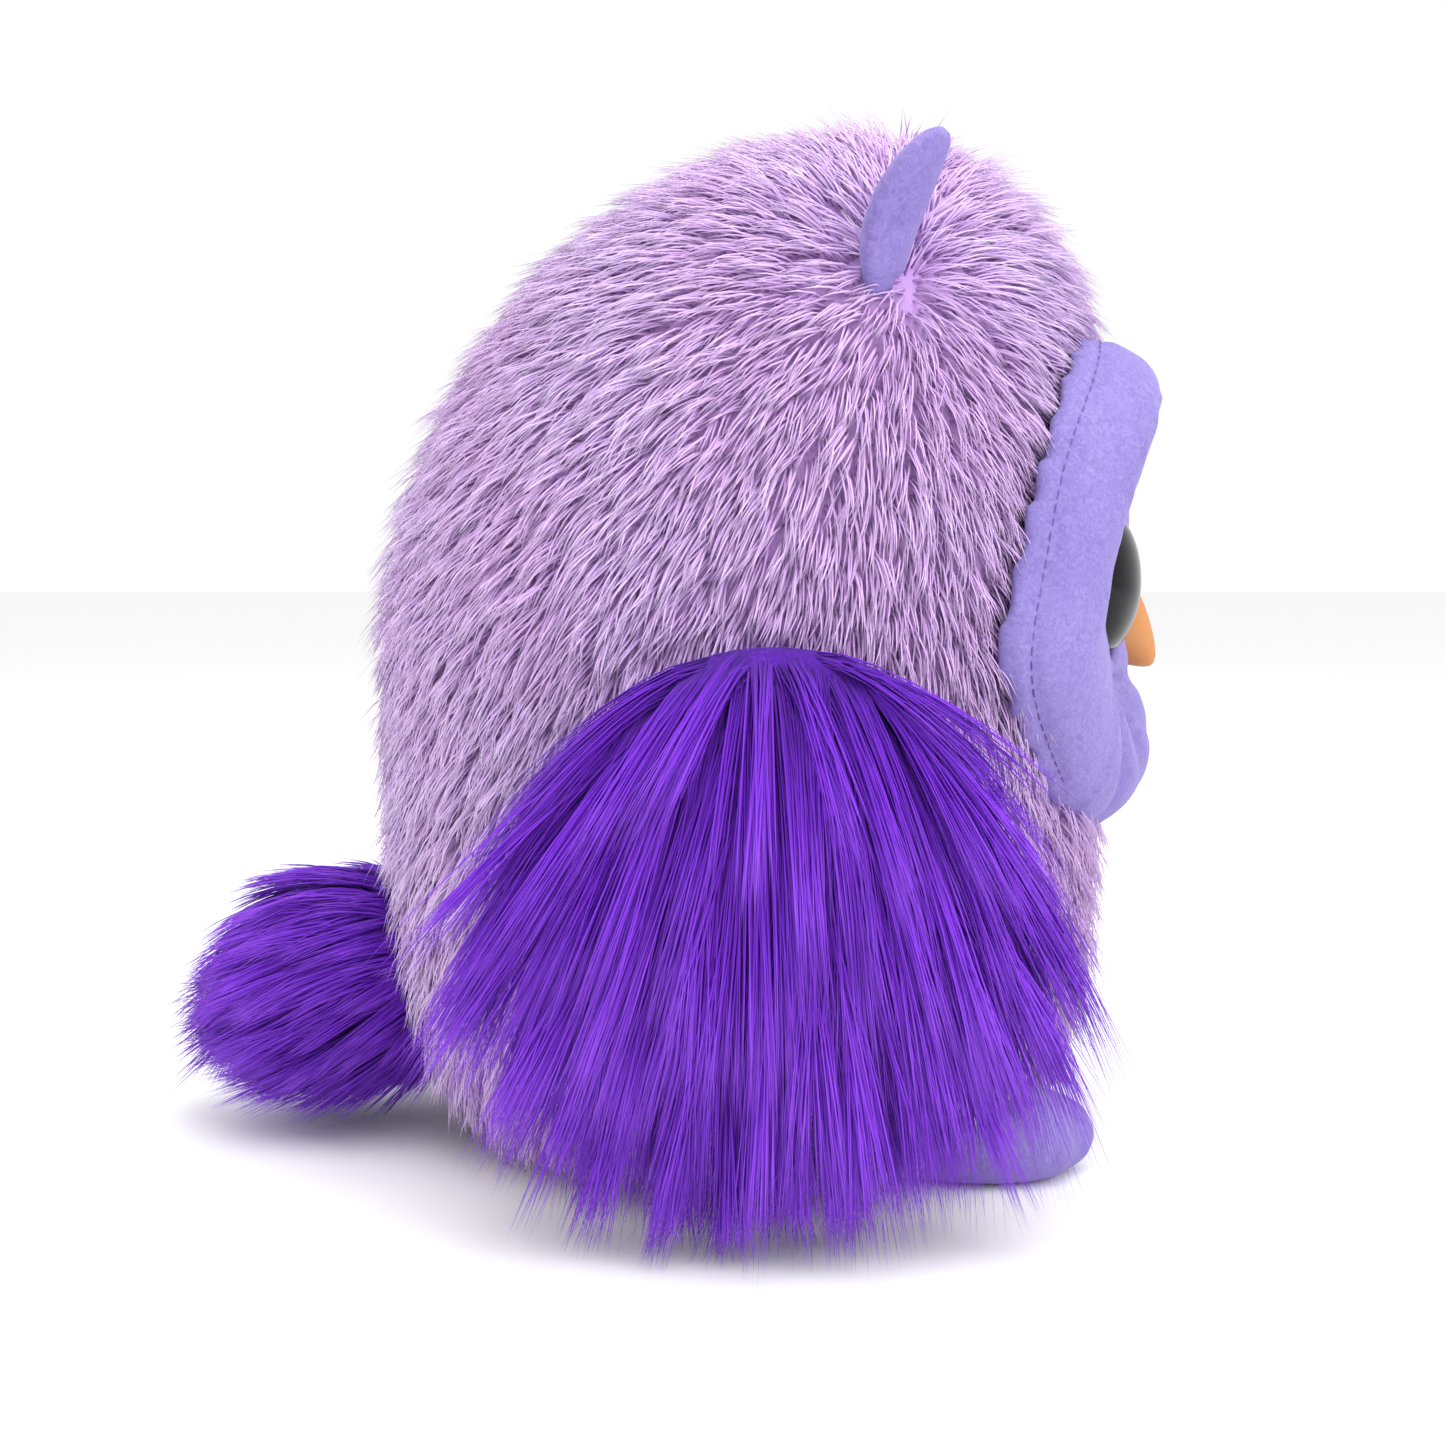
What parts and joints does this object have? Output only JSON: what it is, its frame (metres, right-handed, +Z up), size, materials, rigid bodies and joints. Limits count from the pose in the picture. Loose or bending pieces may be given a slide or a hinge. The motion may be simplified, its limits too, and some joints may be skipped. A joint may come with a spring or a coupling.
{
  "type": "interactive plush pet",
  "caption": "Plush owl with a fur body, shaggy wings that a motor and gears lift, touch buttons under the fur and a battery drawer in the base.",
  "frame": {"origin": "on the ground under the middle of the body's flat base", "axes": "+Z up, the owl faces -Y, its left side is +X"},
  "size_m": [0.2316, 0.2436, 0.245],
  "materials": {
    "plush": "two-tone frosted pile",
    "long_fur": "long shaggy pile",
    "velour": "short brushed pile",
    "stuffing": "loose white fibre",
    "eye_black": "polished",
    "beak_orange": "soft matt",
    "white_plastic": "as moulded",
    "black_plastic": "as moulded",
    "gear_plastic": "as moulded",
    "steel": "plain",
    "board_green": "lacquered",
    "cell_wrap": "printed film without marks",
    "wire_red": "plain sleeve"
  },
  "bodies": {
    "root": {"base_panel": "black_plastic", "battery_box": "black_plastic", "beak": "beak_orange", "beak_washer": "white_plastic", "body_skin": "plush", "cell_1": "cell_wrap", "cell_2": "cell_wrap", "cell_3": "cell_wrap", "chest_button_cup": "black_plastic", "chest_wire": "wire_red", "circuit_board": "board_green", "contact_plate_front": "steel", "contact_plate_rear": "steel", "ear_left": "velour", "ear_right": "velour", "electronics_case": "black_plastic", "eye_left": "eye_black", "eye_right": "eye_black", "eye_washer_left": "white_plastic", "eye_washer_right": "white_plastic", "face_pad": "velour", "foot_left": "velour", "foot_right": "velour", "gearbox_front": "black_plastic", "gearbox_rear": "black_plastic", "gearbox_screw_1": "steel", "gearbox_screw_2": "steel", "gearbox_screw_3": "steel", "gearbox_screw_4": "steel", "head_button_cup": "black_plastic", "head_wire": "wire_red", "idler_shaft_left": "steel", "idler_shaft_right": "steel", "motor": "steel", "reduction_shaft": "steel", "speaker_basket": "steel", "speaker_cone": "black_plastic", "speaker_grille": "black_plastic", "speaker_magnet": "steel", "stuffing": "stuffing", "switch_body": "black_plastic", "tail": "long_fur", "wing_shaft_left": "steel", "wing_shaft_right": "steel"},
    "wing_left": {"wing_left": "long_fur", "wing_lever_left": "gear_plastic"},
    "wing_right": {"wing_right": "long_fur", "wing_lever_right": "gear_plastic"},
    "idler_left": {"idler_gear_left": "gear_plastic"},
    "idler_right": {"idler_gear_right": "gear_plastic"},
    "reduction": {"reduction_gear": "gear_plastic"},
    "rotor": {"motor_pinion": "gear_plastic"},
    "head_cap": {"head_button_cap": "white_plastic"},
    "chest_cap": {"chest_button_cap": "white_plastic"},
    "switch": {"switch_slider": "white_plastic"},
    "door": {"battery_door": "black_plastic", "door_screw": "steel"}
  },
  "joints": [
    {"name": "wing_left_flap", "type": "hinge", "parent": "root", "child": "wing_left", "pos_m": [0.06, 0, 0.126], "axis": [0, -1, 0], "range_deg": [0, 28]},
    {"name": "wing_right_flap", "type": "hinge", "parent": "root", "child": "wing_right", "pos_m": [-0.06, 0, 0.126], "axis": [0, 1, 0], "range_deg": [0, 28]},
    {"name": "idler_left_turn", "type": "hinge", "parent": "root", "child": "idler_left", "pos_m": [0.015, 0, 0.126], "axis": [0, 1, 0], "range_deg": [0, 56]},
    {"name": "idler_right_turn", "type": "hinge", "parent": "root", "child": "idler_right", "pos_m": [-0.015, 0, 0.126], "axis": [0, -1, 0], "range_deg": [0, 56]},
    {"name": "reduction_turn", "type": "hinge", "parent": "root", "child": "reduction", "pos_m": [0.015, 0, 0.102], "axis": [0, -1, 0], "range_deg": [0, 93.4]},
    {"name": "rotor_turn", "type": "hinge", "parent": "root", "child": "rotor", "pos_m": [0, 0, 0.09134], "axis": [0, 1, 0], "range_deg": [0, 336.1]},
    {"name": "head_press", "type": "slide", "parent": "root", "child": "head_cap", "axis": [0, 0, -1], "range_m": [0, 0.0025], "stiffness_N_per_m": 200},
    {"name": "chest_press", "type": "slide", "parent": "root", "child": "chest_cap", "axis": [0, 1, 0], "range_m": [0, 0.0025], "stiffness_N_per_m": 200},
    {"name": "switch_slide", "type": "slide", "parent": "root", "child": "switch", "axis": [1, 0, 0], "range_m": [0, 0.005]},
    {"name": "door_lift_off", "type": "slide", "parent": "root", "child": "door", "axis": [0, 0, -1], "range_m": [0, 0.03]}
  ],
  "couplings": [
    {"joint": "wing_right_flap", "follows": "wing_left_flap", "ratio": 1},
    {"joint": "idler_left_turn", "follows": "wing_left_flap", "ratio": 2},
    {"joint": "idler_right_turn", "follows": "wing_left_flap", "ratio": 2},
    {"joint": "reduction_turn", "follows": "wing_left_flap", "ratio": 3.3333},
    {"joint": "rotor_turn", "follows": "wing_left_flap", "ratio": 12}
  ]
}
